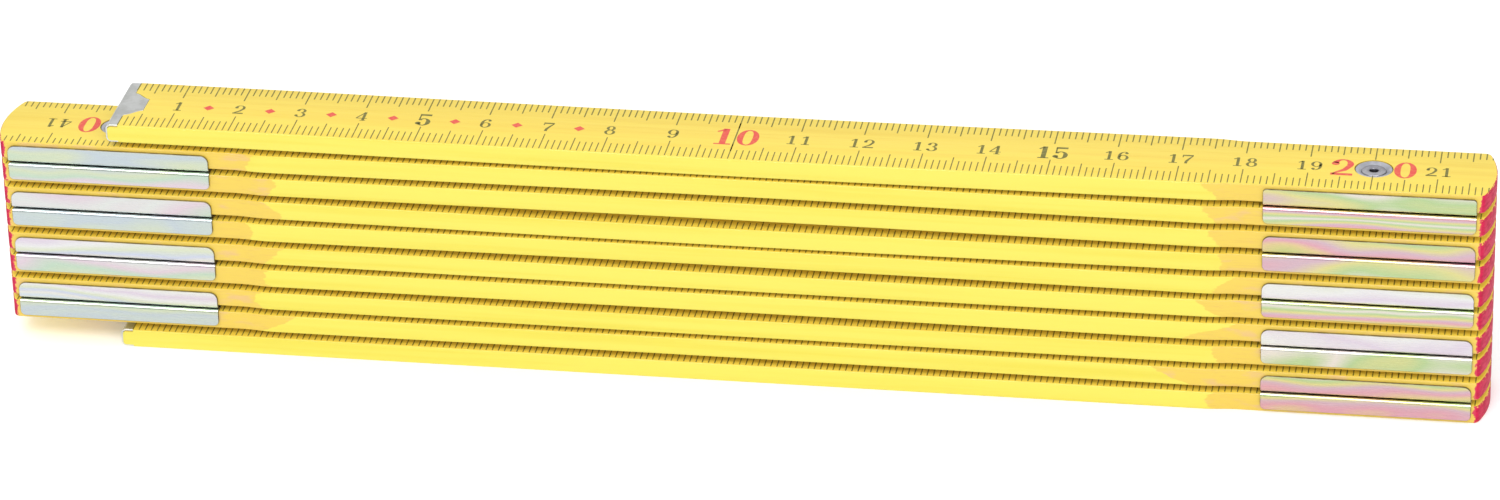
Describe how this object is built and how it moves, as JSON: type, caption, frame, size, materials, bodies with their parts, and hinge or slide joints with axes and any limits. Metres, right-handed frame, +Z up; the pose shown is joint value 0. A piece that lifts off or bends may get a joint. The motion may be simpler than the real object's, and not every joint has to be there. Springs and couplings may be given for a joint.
{
  "type": "folding rule",
  "caption": "Folding wooden rule: lacquered blades stacked flat on riveted spring-steel plate joints, with metal end caps, that opens out into a long straight measure.",
  "frame": {"origin": "middle of the folded rule's footprint, on the surface that it lies on", "axes": "+X along the folded rule, away from its two capped ends; +Y across its width; +Z up through the stack of blades"},
  "size_m": [0.238, 0.016, 0.0395],
  "materials": {
    "lacquered_wood": "satin yellow lacquer with a printed scale",
    "spring_plate": "yellow zinc plate, faintly iridescent",
    "washer_steel": "bright zinc plate",
    "rivet_steel": "bright zinc plate",
    "cap_steel": "nickel plate, satin"
  },
  "bodies": {
    "section_1": {"blade_01": "lacquered_wood", "zero_end_cap": "cap_steel", "joint_1_upper_plate": "spring_plate", "joint_1_upper_washer": "washer_steel"},
    "section_2": {"blade_02": "lacquered_wood", "joint_1_lower_plate": "spring_plate", "joint_1_lower_washer": "washer_steel", "joint_1_rivet": "rivet_steel", "joint_2_upper_plate": "spring_plate", "joint_2_upper_washer": "washer_steel"},
    "section_3": {"blade_03": "lacquered_wood", "joint_2_lower_plate": "spring_plate", "joint_2_lower_washer": "washer_steel", "joint_2_rivet": "rivet_steel", "joint_3_upper_plate": "spring_plate", "joint_3_upper_washer": "washer_steel"},
    "section_4": {"blade_04": "lacquered_wood", "joint_3_lower_plate": "spring_plate", "joint_3_lower_washer": "washer_steel", "joint_3_rivet": "rivet_steel", "joint_4_upper_plate": "spring_plate", "joint_4_upper_washer": "washer_steel"},
    "section_5": {"blade_05": "lacquered_wood", "joint_4_lower_plate": "spring_plate", "joint_4_lower_washer": "washer_steel", "joint_4_rivet": "rivet_steel", "joint_5_upper_plate": "spring_plate", "joint_5_upper_washer": "washer_steel"},
    "section_6": {"blade_06": "lacquered_wood", "joint_5_lower_plate": "spring_plate", "joint_5_lower_washer": "washer_steel", "joint_5_rivet": "rivet_steel", "joint_6_upper_plate": "spring_plate", "joint_6_upper_washer": "washer_steel"},
    "section_7": {"blade_07": "lacquered_wood", "joint_6_lower_plate": "spring_plate", "joint_6_lower_washer": "washer_steel", "joint_6_rivet": "rivet_steel", "joint_7_upper_plate": "spring_plate", "joint_7_upper_washer": "washer_steel"},
    "section_8": {"blade_08": "lacquered_wood", "joint_7_lower_plate": "spring_plate", "joint_7_lower_washer": "washer_steel", "joint_7_rivet": "rivet_steel", "joint_8_upper_plate": "spring_plate", "joint_8_upper_washer": "washer_steel"},
    "section_9": {"blade_09": "lacquered_wood", "joint_8_lower_plate": "spring_plate", "joint_8_lower_washer": "washer_steel", "joint_8_rivet": "rivet_steel", "joint_9_upper_plate": "spring_plate", "joint_9_upper_washer": "washer_steel"},
    "section_10": {"blade_10": "lacquered_wood", "far_end_cap": "cap_steel", "joint_9_lower_plate": "spring_plate", "joint_9_lower_washer": "washer_steel", "joint_9_rivet": "rivet_steel"}
  },
  "joints": [
    {"name": "joint_1_turn", "type": "hinge", "parent": "section_2", "child": "section_1", "pos_m": [0.1, 0, 0.03601], "axis": [0, 0, 1], "range_deg": [-180, 180]},
    {"name": "joint_2_turn", "type": "hinge", "parent": "section_3", "child": "section_2", "pos_m": [-0.1, 0, 0.03195], "axis": [0, 0, 1], "range_deg": [-180, 180]},
    {"name": "joint_3_turn", "type": "hinge", "parent": "section_4", "child": "section_3", "pos_m": [0.1, 0, 0.02789], "axis": [0, 0, 1], "range_deg": [-180, 180]},
    {"name": "joint_4_turn", "type": "hinge", "parent": "section_5", "child": "section_4", "pos_m": [-0.1, 0, 0.02383], "axis": [0, 0, 1], "range_deg": [-180, 180]},
    {"name": "joint_5_turn", "type": "hinge", "parent": "section_6", "child": "section_5", "pos_m": [0.1, 0, 0.01977], "axis": [0, 0, 1], "range_deg": [-180, 180]},
    {"name": "joint_6_turn", "type": "hinge", "parent": "section_7", "child": "section_6", "pos_m": [-0.1, 0, 0.01571], "axis": [0, 0, 1], "range_deg": [-180, 180]},
    {"name": "joint_7_turn", "type": "hinge", "parent": "section_8", "child": "section_7", "pos_m": [0.1, 0, 0.01165], "axis": [0, 0, 1], "range_deg": [-180, 180]},
    {"name": "joint_8_turn", "type": "hinge", "parent": "section_9", "child": "section_8", "pos_m": [-0.1, 0, 0.00759], "axis": [0, 0, 1], "range_deg": [-180, 180]},
    {"name": "joint_9_turn", "type": "hinge", "parent": "section_10", "child": "section_9", "pos_m": [0.1, 0, 0.00353], "axis": [0, 0, 1], "range_deg": [-180, 180]}
  ]
}
